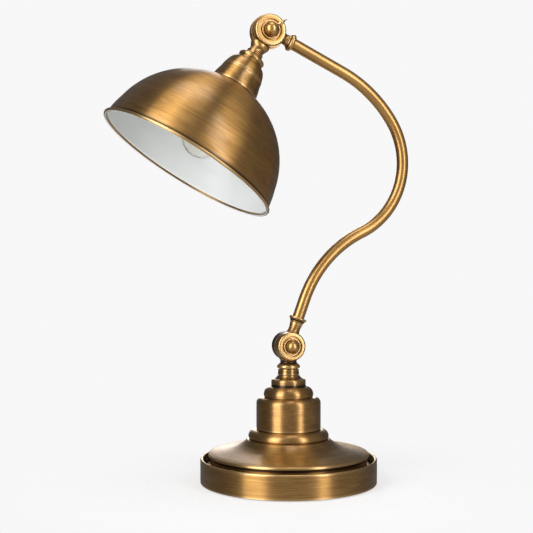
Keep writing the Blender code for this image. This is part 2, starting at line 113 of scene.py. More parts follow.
def turn(axis, angle):
    return Matrix.Rotation(radians(angle), 4, axis)


ARM_END_LEAN = ARM_LEAN + sum(bend for _, bend in ARM_BENDS)
BASE = Matrix.Identity(4)
LOWER = Matrix.Translation(LOWER_PIVOT)
UPPER = Matrix.Translation(UPPER_PIVOT)
ARM_START = LOWER @ turn("Y", ARM_LEAN)
ARM_END = UPPER @ turn("Y", ARM_END_LEAN + 180) @ Matrix.Translation((-ARM_DROP * MM, 0, 0))
SHADE = UPPER @ turn("Y", SHADE_TILT) @ Matrix.Translation((0, 0, -SHADE_PIVOT * MM))
FRONT = turn("X", 90)
REAR = turn("X", -90)


# ---------------------------------------------------------------- outlines

def arc(centre, radius, start, end, steps=12):
    points = []
    for step in range(steps + 1):
        angle = radians(start + (end - start) * step / steps)
        points.append((centre[0] + radius * cos(angle), centre[1] + radius * sin(angle)))
    return points


def smooth(points, steps=6):
    """A Catmull-Rom curve through the points."""
    padded = [points[0]] + list(points) + [points[-1]]
    curve = []
    for a, b, c, d in zip(padded, padded[1:], padded[2:], padded[3:]):
        for step in range(steps):
            t = step / steps
            curve.append(tuple(
                0.5 * (2 * q + (r - p) * t + (2 * p - 5 * q + 4 * r - s) * t * t
                       + (3 * q - p - 3 * r + s) * t ** 3)
                for p, q, r, s in zip(a, b, c, d)))
    curve.append(points[-1])
    return curve


def rounded(outline, radius=0.35, steps=4):
    """The closed outline with every sharp corner off the axis turned into an arc."""
    result = []
    count = len(outline)
    for index, corner in enumerate(outline):
        before = Vector(outline[index - 1]) - Vector(corner)
        after = Vector(outline[(index + 1) % count]) - Vector(corner)
        if corner[0] < ON_AXIS or before.length < ON_AXIS or after.length < ON_AXIS:
            result.append(corner)
            continue
        bend = pi - before.angle(after)
        if bend < radians(24):
            result.append(corner)
            continue
        reach = min(radius, 0.42 * before.length, 0.42 * after.length)
        start = Vector(corner) + before.normalized() * reach
        end = Vector(corner) + after.normalized() * reach
        for step in range(steps + 1):
            t = step / steps
            point = start * (1 - t) ** 2 + Vector(corner) * 2 * t * (1 - t) + end * t * t
            result.append(tuple(point))
    return result


def area_sign(outline):
    total = 0.0
    for (r0, z0), (r1, z1) in zip(outline, outline[1:] + outline[:1]):
        total += r0 * z1 - r1 * z0
    return 1 if total > 0 else -1


def divided(outline):
    """The outline with points added near its corners, so that the edge wear, painted highlight and
    painted groove shade stay beside them.
    """
    result = []
    for a, b in zip(outline, outline[1:] + outline[:1]):
        result.append(a)
        if a[0] < ON_AXIS and b[0] < ON_AXIS:
            continue
        length = hypot(b[0] - a[0], b[1] - a[1])
        if length > 6 * WEAR_AND_SHADE_STEP:
            ends = [step * WEAR_AND_SHADE_STEP for step in (1, 2, 3)]
            stops = ends + [length - stop for stop in reversed(ends)]
        else:
            count = int(length / WEAR_AND_SHADE_STEP)
            stops = [length * step / (count + 1) for step in range(1, count + 1)]
        for stop in stops:
            share = stop / length
            result.append((a[0] + (b[0] - a[0]) * share, a[1] + (b[1] - a[1]) * share))
    return result


def outline_wear_and_shade(outline):
    """How much the outline turns near each point: above 0 on edges (wear with a painted highlight),
    below 0 in grooves (patina with painted shade).
    """
    reach = 3 * WEAR_AND_SHADE_STEP
    sign = area_sign(outline)
    count = len(outline)
    turns = []
    for index in range(count):
        a, b, c = outline[index - 1], outline[index], outline[(index + 1) % count]
        heading = atan2(c[1] - b[1], c[0] - b[0]) - atan2(b[1] - a[1], b[0] - a[0])
        turns.append(sign * ((heading + pi) % (2 * pi) - pi))
    wear_and_shade = []
    for point in outline:
        near = 0.0
        for other, bend in zip(outline, turns):
            gap = hypot(point[0] - other[0], point[1] - other[1])
            if gap < reach:
                near += bend * (1 - gap / reach) ** 2
        wear_and_shade.append(near)
    return wear_and_shade


# ---------------------------------------------------------------- meshes

def finish_mesh(name, bm, place):
    bmesh.ops.recalc_face_normals(bm, faces=bm.faces[:])
    bmesh.ops.transform(bm, matrix=place, verts=bm.verts[:])
    mesh = bpy.data.meshes.new(name)
    bm.to_mesh(mesh)
    bm.free()
    mesh.shade_smooth()
    mesh.set_sharp_from_angle(angle=radians(SHARP_ANGLE))
    obj = bpy.data.objects.new(name, mesh)
    bpy.context.scene.collection.objects.link(obj)
    return obj


def lathe(name, outline, place, sides=112):
    """A closed (radius, height) outline in millimetres turned about the place's +Z.

    The first UV coordinate runs along the outline in metres and the second
    once round, so brushing that follows the tool's path needs no seam.
    """
    outline = divided(outline)
    # edge and groove values that the brass turns into worn edges with a painted highlight and grooves
    # of patina with painted shade
    wear_and_shade = outline_wear_and_shade(outline)
    bm = bmesh.new()
    uv = bm.loops.layers.uv.new(UV)
    layer = bm.verts.layers.float.new(WEAR_AND_SHADE)
    rings = []
    for (r, z), value in zip(outline, wear_and_shade):
        ring = []
        for side in range(1 if r < ON_AXIS else sides):
            angle = 2 * pi * side / sides
            vert = bm.verts.new((r * cos(angle) * MM, r * sin(angle) * MM, z * MM))
            vert[layer] = value
            ring.append(vert)
        rings.append(ring)
    lengths = [0.0]
    for a, b in zip(outline, outline[1:] + outline[:1]):
        lengths.append(lengths[-1] + hypot(b[0] - a[0], b[1] - a[1]) * MM)
    count = len(rings)
    for index in range(count):
        low, high = rings[index], rings[(index + 1) % count]
        if len(low) == 1 and len(high) == 1:
            continue
        for side in range(sides):
            after = (side + 1) % sides
            corners = []
            for ring, along in ((low, lengths[index]), (high, lengths[index + 1])):
                pair = [(ring[side % len(ring)], side / sides, along)]
                if len(ring) > 1:
                    pair.append((ring[after], (side + 1) / sides, along))
                corners.append(pair)
            loop = corners[0] + corners[1][::-1]
            face = bm.faces.new([corner[0] for corner in loop])
            for item, (_, across, along) in zip(face.loops, loop):
                item[uv].uv = (along, across)
    return finish_mesh(name, bm, place)


def combine(body, other, operation):
    """Apply one exact Boolean and drop the other object."""
    step = body.modifiers.new("cut", "BOOLEAN")
    step.operation = operation
    step.solver = "EXACT"
    step.object = other
    depsgraph = bpy.context.evaluated_depsgraph_get()
    mesh = bpy.data.meshes.new_from_object(body.evaluated_get(depsgraph))
    body.modifiers.clear()
    body.data = mesh
    bpy.data.objects.remove(other, do_unlink=True)


def tube_outline(inner, outer, bottom, top):
    return [(outer, top), (outer, bottom), (inner, bottom), (inner, top)]


# ---------------------------------------------------------------- materials

def add_node(tree, kind, inputs=None, **settings):
    """A new node; an input's value is either another node's socket or a plain value."""
    node = tree.nodes.new(kind)
    for key, value in settings.items():
        setattr(node, key, value)
    for key, value in (inputs or {}).items():
        fill(tree, node.inputs[key], value)
    return node


def fill(tree, socket, value):
    if isinstance(value, bpy.types.NodeSocket):
        tree.links.new(value, socket)
    else:
        socket.default_value = value


class Finish:
    """A material being made: helpers that add and link its nodes."""

    def __init__(self, name):
        self.material = bpy.data.materials.new(name)
        self.material.use_nodes = True
        self.tree = self.material.node_tree
        self.shader = self.tree.nodes["Principled BSDF"]

    def add(self, kind, inputs=None, **settings):
        return add_node(self.tree, kind, inputs, **settings)

    def math(self, operation, a, b=0.0):
        return self.add("ShaderNodeMath", {0: a, 1: b}, operation=operation).outputs[0]

    def noise(self, vector, scale, detail=3.0, rough=0.6):
        node = self.add("ShaderNodeTexNoise", {
            "Vector": vector, "Scale": scale, "Detail": detail, "Roughness": rough})
        return node.outputs["Fac"]

    def span(self, value, low, high, to_low, to_high):
        node = self.add("ShaderNodeMapRange", {
            "Value": value, "From Min": low, "From Max": high,
            "To Min": to_low, "To Max": to_high})
        return node.outputs["Result"]

    def blend(self, factor, a, b):
        """Colour a where the factor is 0 and b where it is 1."""
        node = self.add("ShaderNodeMix", data_type="RGBA")
        sockets = [s for s in node.inputs if s.enabled]
        for socket, value in zip(sockets, (factor, a, b)):
            fill(self.tree, socket, value)
        return [s for s in node.outputs if s.enabled][0]

    def set(self, **values):
        """Shader inputs by name, with _ for a space."""
        for key, value in values.items():
            fill(self.tree, self.shader.inputs[key.replace("_", " ")], value)

    def bump(self, height, strength, distance):
        node = self.add("ShaderNodeBump", {
            "Strength": strength, "Distance": distance, "Height": height})
        self.tree.links.new(node.outputs["Normal"], self.shader.inputs["Normal"])

    def position(self):
        return self.add("ShaderNodeTexCoord").outputs["Object"]


def colour(red, green, blue):
    return (red, green, blue, 1.0)


def brushed_brass(name, streaks, turns, grip, contrast=1.0):
    """Aged brass brushed along the second UV coordinate, pale on edges from wear and a painted
    highlight, and dark in grooves from patina and painted shade.

    streaks is how many brush lines fill a metre of the outline, turns how often a
    line changes on its way round, grip how far the lines draw out a highlight, and
    contrast how strongly they show.
    """
    finish = Finish(name)
    uv = finish.add("ShaderNodeUVMap", uv_map=UV).outputs["UV"]
    split = finish.add("ShaderNodeSeparateXYZ", {"Vector": uv})
    along, across = split.outputs["X"], split.outputs["Y"]
    angle = finish.math("MULTIPLY", across, 2 * pi)
    round_x = finish.math("MULTIPLY", finish.math("COSINE", angle), turns)
    round_y = finish.math("MULTIPLY", finish.math("SINE", angle), turns)

    def lines(density, detail):
        vector = finish.add("ShaderNodeCombineXYZ", {
            "X": finish.math("MULTIPLY", along, density), "Y": round_x, "Z": round_y})
        return finish.noise(vector.outputs["Vector"], 1.0, detail, 0.65)

    broad_share = 0.22
    fine = lines(streaks, 3.0)
    broad = lines(streaks * broad_share, 2.0)
    cloud = finish.noise(finish.position(), 22.0, 4.0, 0.6)
    wear_and_shade = finish.add("ShaderNodeAttribute", attribute_name=WEAR_AND_SHADE).outputs["Fac"]

    deep = colour(0.15, 0.070, 0.017)
    body = colour(0.47, 0.256, 0.072)
    # tone for rubbed edges, partly a painted highlight
    edge_wear_and_highlight = colour(0.74, 0.50, 0.22)
    # near-black for grooves and gaps between parts: patina and painted shade
    groove_patina_and_shade = colour(0.030, 0.015, 0.006)
    aged = finish.span(cloud, 0.40, 0.75, 0.0, 0.30)
    lined = finish.span(fine, 0.32, 0.68, 0.0, contrast)
    banded = finish.span(broad, 0.32, 0.68, 0.0, contrast)
    shade = finish.math("ADD", finish.math("MULTIPLY", lined, 0.45),
                        finish.math("MULTIPLY", banded, 0.30))
    base = finish.blend(shade, body, deep)
    base = finish.blend(aged, base, deep)
    # pale on rubbed edges: real wear and a painted highlight
    base = finish.blend(finish.span(wear_and_shade, 0.3, 1.4, 0.0, 0.5), base, edge_wear_and_highlight)
    # near-black in grooves and between parts: patina and painted shade
    base = finish.blend(finish.span(wear_and_shade, -0.05, -0.5, 0.0, 0.97), base, groove_patina_and_shade)
    rough = finish.math("ADD", finish.span(fine, 0.25, 0.75, 0.32, 0.32 + 0.12 * contrast),
                        finish.span(wear_and_shade, -0.1, -0.9, 0.0, 0.25))
    finish.set(Base_Color=base, Roughness=rough, Metallic=1.0,
               Coat_Weight=0.22, Coat_Roughness=0.22, Coat_IOR=1.9)
    if grip > 0:
        finish.set(Anisotropic=grip)
        tangent = finish.add("ShaderNodeTangent", direction_type="UV_MAP", uv_map=UV)
        finish.set(Tangent=tangent.outputs["Tangent"])
        finish.bump(fine, 0.16 * contrast, 0.00012)
    return finish.material


def enamel():
    finish = Finish("white_enamel")
    place = finish.position()
    peel = finish.noise(place, 420.0, 2.0, 0.5)
    cloud = finish.noise(place, 14.0, 3.0, 0.5)
    base = finish.blend(finish.span(cloud, 0.35, 0.65, 0.0, 1.0),
                        colour(0.80, 0.82, 0.81), colour(0.76, 0.78, 0.77))
    finish.set(Base_Color=base, Roughness=finish.span(peel, 0.3, 0.7, 0.36, 0.46),
               Coat_Weight=0.1, Coat_Roughness=0.25)
    finish.bump(peel, 0.05, 0.0002)
    return finish.material


def bulb_glass():
    finish = Finish("bulb_glass")
    ripple = finish.noise(finish.position(), 60.0, 2.0, 0.5)
    finish.set(Base_Color=colour(1.0, 0.985, 0.95), Transmission_Weight=1.0, IOR=1.45,
               Roughness=finish.span(ripple, 0.3, 0.7, 0.01, 0.04))
    finish.bump(ripple, 0.03, 0.0005)
    return finish.material


def moulded(name, base, speck, rough):
    """Moulded plastic with a fine spark-eroded grain."""
    finish = Finish(name)
    place = finish.position()
    grain = finish.noise(place, 1500.0, 2.0, 0.6)
    cloud = finish.noise(place, 90.0, 3.0, 0.5)
    finish.set(Base_Color=finish.blend(finish.span(cloud, 0.3, 0.7, 0.0, 1.0), base, speck),
               Roughness=finish.span(grain, 0.3, 0.7, rough - 0.06, rough + 0.08))
    finish.bump(grain, 0.15, 0.0001)
    return finish.material


def metal(name, base, second, rough, grain_scale, strength):
    """Plain metal with a grain, for the parts that aren't brass."""
    finish = Finish(name)
    place = finish.position()
    grain = finish.noise(place, grain_scale, 4.0, 0.65)
    cloud = finish.noise(place, 40.0, 3.0, 0.5)
    finish.set(Base_Color=finish.blend(finish.span(cloud, 0.3, 0.7, 0.0, 1.0), base, second),
               Roughness=finish.span(grain, 0.3, 0.7, rough - 0.08, rough + 0.10),
               Metallic=1.0)
    finish.bump(grain, strength, 0.0003)
    return finish.material


def felt():
    finish = Finish("felt")
    place = finish.position()
    fibre = finish.noise(place, 900.0, 5.0, 0.75)
    tuft = finish.noise(place, 160.0, 3.0, 0.6)
    base = finish.blend(finish.span(fibre, 0.3, 0.7, 0.0, 1.0),
                        colour(0.012, 0.014, 0.013), colour(0.045, 0.050, 0.046))
    finish.set(Base_Color=base, Roughness=finish.span(tuft, 0.3, 0.7, 0.88, 1.0),
               Sheen_Weight=0.4, Sheen_Roughness=0.5)
    finish.bump(fibre, 0.6, 0.0005)
    return finish.material


MATERIALS = {
    "brass": brushed_brass("antique_brass", 900.0, 3.0, grip=0.9),
    "shade": brushed_brass("antique_brass_spun", 700.0, 2.2, grip=0.92),
    "small": brushed_brass("antique_brass_cast", 260.0, 1.2, grip=0.0, contrast=0.35),
    "tube": brushed_brass("antique_brass_tube", 200.0, 1.2, grip=0.0, contrast=0.35),
    "enamel": enamel(),
    "glass": bulb_glass(),
    "plastic": moulded("black_plastic", colour(0.02, 0.02, 0.02), colour(0.035, 0.035, 0.035), 0.42),
    "steel": metal("zinc_steel", colour(0.56, 0.57, 0.58), colour(0.44, 0.45, 0.46), 0.32, 700.0, 0.1),
    "iron": metal("cast_iron", colour(0.06, 0.06, 0.06), colour(0.035, 0.032, 0.03), 0.65, 350.0, 0.5),
    "felt": felt(),
}


def place_piece(obj, node, body, finish):
    """Finish a piece, tie it to its body and let it stand for its CAD node."""
    obj.data.materials.clear()
    obj.data.materials.append(MATERIALS[finish])
    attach(obj, body)
    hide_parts(node)


# ---------------------------------------------------------------- base

def drum_outline():
    lip = 1.25
    flange = DRUM_FLANGE
    inner = DRUM_RADIUS - 1.2
    return (arc((DRUM_RADIUS - lip, DRUM_HEIGHT - lip), lip, 0, 175, 12)
            + rounded([(DRUM_RADIUS - 2 * lip, flange), (40.0, flange), (40.0, flange - 1.2),
                       (inner, flange - 1.2), (inner, 0.8), (DRUM_RADIUS, 0.8)], 0.5))


def flare_height(radius):
    """The dome's upper side: a gentle cone that turns up steeply at the column."""
    share = (DISC_TOP_RADIUS - 2.4 - radius) / 32.1
    return DISC_TOP + 0.45 + 6.6 * share + 3.8 * share ** 6


def dome_outline():
    """The upper disc on its recessed foot, and the concave sweep up to the column."""
    bottom = DRUM_FLANGE + 0.3
    foot_top = DISC_TOP - DISC_SIDE
    foot = [(DISC_FOOT_RADIUS, bottom), (DISC_FOOT_RADIUS, foot_top),
            (DISC_TOP_RADIUS, foot_top + 0.5)]
    edge = arc((DISC_TOP_RADIUS - 1.5, DISC_TOP - 1.5), 1.5, 5, 80, 10)
    sweep = [(radius, flare_height(radius)) for radius in (71.0 - step for step in range(33))]
    seat = [(36.9, FLARE_TOP), (26.1, FLARE_TOP)]
    under = [(26.1, 39.2), (38.0, 38.2), (52.0, 31.0), (66.0, 27.2),
             (DISC_FOOT_RADIUS - 1.4, foot_top - 0.6), (DISC_FOOT_RADIUS - 1.4, bottom)]
    return rounded(foot + edge + sweep + seat + under, 0.3)


def bead_ring_outline():
    bottom = FLARE_TOP + 0.3
    foot = arc((BEAD_RING_RADIUS - 2.0, bottom + 2.0), 2.0, -60, -10, 8)
    swell = arc((BEAD_RING_RADIUS - 6.1, 43.3), 6.1, 4, 82, 20)
    return rounded([(26.1, bottom), (36.5, bottom)] + foot + swell + [(26.1, COLUMN_BOTTOM)])


def column_outline():
    bottom = COLUMN_BOTTOM + 0.3
    shoulder = arc((COLUMN_RADIUS - 5.1, COLUMN_TOP - 5.1), 5.1, 0, 90, 16)
    return rounded([(28.9, bottom), (COLUMN_RADIUS, bottom)] + shoulder
                   + [(10.0, COLUMN_TOP), (10.0, 78.1), (26.9, 78.1), (28.9, 74.3)], 0.5)


def cap_outline():
    """A round torus step, a straight step with a soft shoulder, and a cove."""
    bottom = COLUMN_TOP + 0.3
    torus = arc((15.9, 82.3), 7.3, -21, 86, 24)
    shoulder = arc((14.3, 94.6), 1.8, 0, 76, 10)
    cove = smooth([(13.8, 96.6), (12.2, 97.4), (10.9, 98.7), (10.2, CAP_TOP)], 5)
    return rounded([(5.3, bottom)] + torus + [(16.1, 89.7)] + shoulder + cove
                   + [(5.3, CAP_TOP)], 0.4)


def neck_cup_outline():
    neck = smooth([(10.1, 101.6), (9.8, 102.8), (9.65, 104.2), (9.65, 105.4)], 5)
    return rounded([(5.3, 100.2), (9.9, 100.2)] + neck + [(9.2, 106.0), (6.4, 106.0),
                   (6.4, 102.2), (5.3, 102.2)], 0.3)


def build_base():
    turned = (
        ("base_drum", drum_outline(), 160), ("base_dome", dome_outline(), 160),
        ("bead_ring", bead_ring_outline(), 128), ("column_drum", column_outline(), 128),
        ("column_cap", cap_outline(), 112), ("neck_cup", neck_cup_outline(), 96),
    )
    for node, outline, sides in turned:
        place_piece(lathe(node + "_turned", outline, BASE, sides), node, "base", "brass")
    pad = lathe("felt_pad_soft", rounded([(0, 2.0), (79.5, 2.0), (79.5, 0), (0, 0)], 0.5), BASE, 128)
    place_piece(pad, "felt_pad", "base", "felt")


# ---------------------------------------------------------------- knuckles

def ring_radii(ball):
    inner = ball + BALL_GAP
    return inner, inner + RING_WIDTH


def hub_outline(radius, face, ball):
    recess = ring_radii(ball)[1] + RECESS_GROOVE
    floor = face - RECESS_DEPTH
    return rounded([(3.0, HUB_INNER_FACE), (radius, HUB_INNER_FACE)]
                   + arc((radius - 2.0, face - 2.0), 2.0, 0, 90, 10)
                   + [(recess, face), (recess, floor), (3.0, floor)], 0.35)


def casting(neck, pivot, hub, partner, side, place, body, node):
    """A turned neck joined to one hub disc, hollowed where its partner turns."""
    _, face, ball = hub
    obj = lathe(node + "_cast", neck, Matrix.Identity(4), 96)
    depth = (face - NECK_INSET) * MM
    for vert in obj.data.vertices:
        distance = hypot(vert.co.x, vert.co.y)
        if distance > depth:
            vert.co.y *= depth / distance
    obj.data.transform(place)
    out = place @ Matrix.Translation(Vector(pivot) * MM) @ (FRONT if side < 0 else REAR)
    reach = 30.0
    room = partner + HUB_CLEARANCE
    inner_face = HUB_INNER_FACE + CUT_MARGIN
    groove = ring_radii(ball)[1] + RECESS_GROOVE + CUT_MARGIN
    floor = face - RECESS_DEPTH - CUT_MARGIN
    cutters = (
        ([(0, inner_face), (room, inner_face), (room, -reach), (0, -reach)], 96),
        ([(0, reach), (4.0, reach), (4.0, -reach), (0, -reach)], 32),
        ([(0, reach), (groove, reach), (groove, floor), (0, floor)], 96),
    )
    for outline, sides in cutters:
        combine(obj, lathe("cutter", outline, out, sides), "DIFFERENCE")
    combine(obj, lathe("disc", hub_outline(*hub), out, 96), "UNION")
    obj.data.shade_smooth()
    obj.data.set_sharp_from_angle(angle=radians(CAST_SHARP_ANGLE))
    place_piece(obj, node, body, "small")


def cap_nut(node, hub, place, body):
    _, face, radius = hub
    start = face - RECESS_DEPTH + 0.3
    equator = face + BALL_RISE
    dome = [(r, equator + height * 0.6) for r, height in arc((0, 0), radius, 0, 90, 20)[:-1]]
    outline = rounded([(0, start), (radius, start)] + dome + [(0, equator + radius * 0.6)], 0.3)
    place_piece(lathe(node + "_turned", outline, place, 64), node, body, "small")


def clamp_knob(node, hub, place, body):
    _, face, ball = hub
    foot_start = face - RECESS_DEPTH + 0.3
    centre = face + BALL_RISE
    dip = asin((centre - foot_start - 0.3) / ball)
    foot = ball * cos(dip)
    dome = arc((0, centre), ball, -degrees(dip), 90, 28)[:-1]
    screw_end = SCREW_SHORT - face
    outline = [(0, screw_end), (2.5, screw_end), (2.5, foot_start), (foot, foot_start)]
    outline += dome + [(0, centre + ball)]
    place_piece(lathe(node + "_turned", rounded(outline, 0.25), place, 64), node, body, "small")


def knob_ring(node, hub, place):
    _, face, ball = hub
    inner, outer = ring_radii(ball)
    outline = rounded(tube_outline(inner, outer, face - RECESS_DEPTH + 0.3, face + 0.6), 0.5)
    return lathe(node + "_turned", outline, place, 96)


def lever(place):
    """The ring round the upper knob with its pointed horn."""
    ring = knob_ring("upper_lever", UPPER_HUB, place)
    low = UPPER_HUB[1] + 0.3
    middle = sum(ring_radii(UPPER_HUB[2])) / 2
    spine = smooth([(middle, 1.3, 1.3), (10.5, 1.9, 2.7), (12.2, 1.7, 3.0), (14.5, 1.0, 2.1),
                    (16.5, 0.6, 1.3), (18.4, 0.2, 0.5)], 4)
    around = 20
    bm = bmesh.new()
    bm.loops.layers.uv.new(UV)
    rings = []
    for reach, half_width, height in spine:
        ring_verts = []
        for step in range(around):
            angle = 2 * pi * step / around
            ring_verts.append(bm.verts.new((
                reach * MM, half_width * cos(angle) * MM,
                (low + height / 2 * (1 + sin(angle))) * MM)))
        rings.append(ring_verts)
    for one, two in zip(rings, rings[1:]):
        for step in range(around):
            after = (step + 1) % around
            bm.faces.new((one[step], one[after], two[after], two[step]))
    bm.faces.new(rings[0])
    bm.faces.new(rings[-1])
    combine(ring, finish_mesh("horn", bm, place @ turn("Z", 35.0)), "UNION")
    ring.data.set_sharp_from_angle(angle=radians(CAST_SHARP_ANGLE))
    place_piece(ring, "upper_lever", "upper_clamp", "small")


# ---------------------------------------------------------------- stem and arm

def build_stem():
    pivot = LOWER_PIVOT.z / MM
    bead = arc((9.5, 107.9), 1.4, 50, -65, 12)
    collar = smooth([(12.0, pivot - 5.0), (10.2, pivot - 9.0), (8.6, pivot - 12.0), (7.8, 113.6),
                     (7.6, 112.4), (8.2, 111.2), (10.2, 109.4)], 6)
    neck = rounded([(0, pivot - 5.0)] + collar + bead
                   + [(8.6, 106.3), (6.0, 106.3), (6.0, 102.5), (0, 102.5)], 0.25)
    casting(neck, (0, 0, pivot), LOWER_HUB, LOWER_HUB[0], 1, BASE, "stem", "swivel_stem")
    cap_nut("lower_cap_nut", LOWER_HUB, LOWER @ REAR, "stem")


def arm_path():
    """Stations (point, lean) along the arm's centre line, in millimetres."""
    point = Vector((LOWER_PIVOT.x, 0, LOWER_PIVOT.z)) / MM
    lean = radians(ARM_LEAN)
    stations = []

    def go(length, step_count, bend=0.0):
        nonlocal point, lean
        for _ in range(step_count):
            middle = lean + bend / step_count / 2
            point = point + Vector((sin(middle), 0, cos(middle))) * (length / step_count)
            lean += bend / step_count
            stations.append((point.copy(), lean))

    go(ARM_INSET_LOWER, 1)
    go(ARM_FIRST_STRAIGHT - ARM_INSET_LOWER, 4)
    for radius, bend in ARM_BENDS:
        steps = round(abs(bend) / 1.6)
        chord = 2 * radius * sin(radians(abs(bend)) / steps / 2)
        go(chord * steps, steps, radians(bend))
    go(ARM_LAST_STRAIGHT - ARM_INSET_UPPER, 6)
    return stations


def arm_tube():
    """The swept tube; its first UV coordinate runs round it, so it is drawn lengthwise."""
    sides = 40
    bm = bmesh.new()
    uv = bm.loops.layers.uv.new(UV)
    stations = arm_path()
    lengths = [0.0]
    for (a, _), (b, _) in zip(stations, stations[1:]):
        lengths.append(lengths[-1] + (b - a).length * MM)
    skins = []
    for radius in (ARM_RADIUS, ARM_BORE):
        rings = []
        for point, lean in stations:
            across = Vector((cos(lean), 0, -sin(lean)))
            ring = []
            for side in range(sides):
                angle = 2 * pi * side / sides
                offset = across * (radius * cos(angle)) + Vector((0, radius * sin(angle), 0))
                ring.append(bm.verts.new((point + offset) * MM))
            rings.append(ring)
        skins.append(rings)
    girth = 2 * pi * ARM_RADIUS * MM
    for rings in skins:
        for index in range(len(rings) - 1):
            low, high = rings[index], rings[index + 1]
            for side in range(sides):
                after = (side + 1) % sides
                face = bm.faces.new((low[side], low[after], high[after], high[side]))
                spots = ((side, index), (side + 1, index), (side + 1, index + 1), (side, index + 1))
                for loop, (turned, station) in zip(face.loops, spots):
                    loop[uv].uv = (girth * turned / sides, lengths[station])
    outer, inner = skins
    for end in (0, -1):
        for side in range(sides):
            after = (side + 1) % sides
            bm.faces.new((outer[end][side], outer[end][after], inner[end][after], inner[end][side]))
    obj = finish_mesh("arm_tube_bent", bm, BASE)
    place_piece(obj, "arm_tube", "arm", "tube")


def ferrule(node, start, inset, points, place):
    end = points[-1][1]
    bore = ARM_RADIUS + 0.3
    outline = rounded([(2.5, start)] + points
                      + [(bore, end), (bore, inset - 0.3), (2.5, inset - 0.3)], 0.25)
    place_piece(lathe(node + "_turned", outline, place, 80), node, "arm", "small")


def build_arm():
    foot = smooth([(11.5, 5.0), (8.6, 9.0), (6.6, 12.0), (5.6, 14.5), (5.3, 16.5), (5.4, 18.5),
                   (5.9, 21.5), (6.0, 22.5)], 5)
    casting([(0, 5.0)] + foot + [(0, 22.5)], (0, 0, 0), LOWER_HUB, LOWER_HUB[0], -1, ARM_START,
            "arm", "arm_foot")
    flare = smooth([(6.1, 22.8), (6.8, 24.6), (7.7, 26.1)], 5)
    ferrule("lower_ferrule", 22.8, ARM_INSET_LOWER, flare + arc((7.4, 27.1), 1.0, -40, 90, 12),
            ARM_START)
    arm_tube()
    head = smooth([(8.3, 10.2), (7.9, 11.6), (6.4, 13.8), (5.4, 15.6), (5.1, 17.2),
                   (5.5, 19.5)], 5)
    casting([(0, 10.2)] + head + [(0, 19.5)], (ARM_DROP, 0, 0), UPPER_HUB, UPPER_REAR_HUB[0],
            -1, ARM_END, "arm", "arm_head")
    bead = arc((5.8, 23.7), 2.5, -75, 75, 18)
    ferrule("upper_ferrule", 19.8, ARM_INSET_UPPER, [(5.6, 19.8)] + bead, ARM_END)
    ring = knob_ring("lower_ring", LOWER_HUB, LOWER @ FRONT)
    place_piece(ring, "lower_ring", "arm", "small")
    clamp_knob("lower_knob", LOWER_HUB, LOWER @ FRONT, "lower_clamp")
    lever(UPPER @ FRONT)
    clamp_knob("upper_knob", UPPER_HUB, UPPER @ FRONT, "upper_clamp")


# ---------------------------------------------------------------- shade

def dome_points(radius, slim):
    start = degrees(asin((21.0 - DOME_CENTRE) / radius))
    end = 90 - degrees(asin(SHADE_HOLE / radius))
    skirt = [(SKIRT_RADIUS - slim, 3.2), (SKIRT_RADIUS - 0.6 - slim, 9.0),
             (SKIRT_RADIUS - 1.7 - slim, 15.0)]
    return smooth(skirt + arc((0, DOME_CENTRE), radius, start, end, 20), 3)


def shell_outline(wall=0.7):
    outer = dome_points(DOME_RADIUS, 0.0)
    inner = dome_points(DOME_RADIUS - wall, wall)
    bead = arc((RIM_RADIUS - RIM_BEAD, RIM_BEAD), RIM_BEAD, 240, 490, 20)
    return [(inner[0][0], 0.6)] + bead + outer + inner[::-1]


def lining_outline(outside=1.0, inside=1.5, lap=0.15):
    """The enamel inside the dome, lapped over the inner side of the rim's bead."""
    outer = dome_points(DOME_RADIUS - outside, outside)
    inner = dome_points(DOME_RADIUS - inside, inside)
    centre = (RIM_RADIUS - RIM_BEAD, RIM_BEAD)
    face = arc(centre, RIM_BEAD + lap, 165, 255, 12)
    back = arc(centre, RIM_BEAD + 0.02, 255, 165, 12)
    return outer + inner[::-1] + face + back


def bulb_outline():
    neck = 12.4
    wall = 0.8
    join = degrees(asin((neck + 1.4) / BULB_RADIUS))
    globe = arc((0, BULB_CENTRE), BULB_RADIUS, -90, 90 - join, 36)
    throat = smooth([globe[-1], (neck + 0.2, 53.0), (neck, 56.0), (neck, 62.9)], 6)
    outer = globe[1:-1] + throat
    inner = [(max(r - wall, 0.0), z + (0.0 if z > 50 else wall * (BULB_CENTRE - z) / BULB_RADIUS))
             for r, z in outer]
    inner = [(r, z) for r, z in inner if r > 0.4]
    return ([(0, BULB_CENTRE - BULB_RADIUS)] + outer + inner[::-1]
            + [(0, BULB_CENTRE - BULB_RADIUS + wall)])


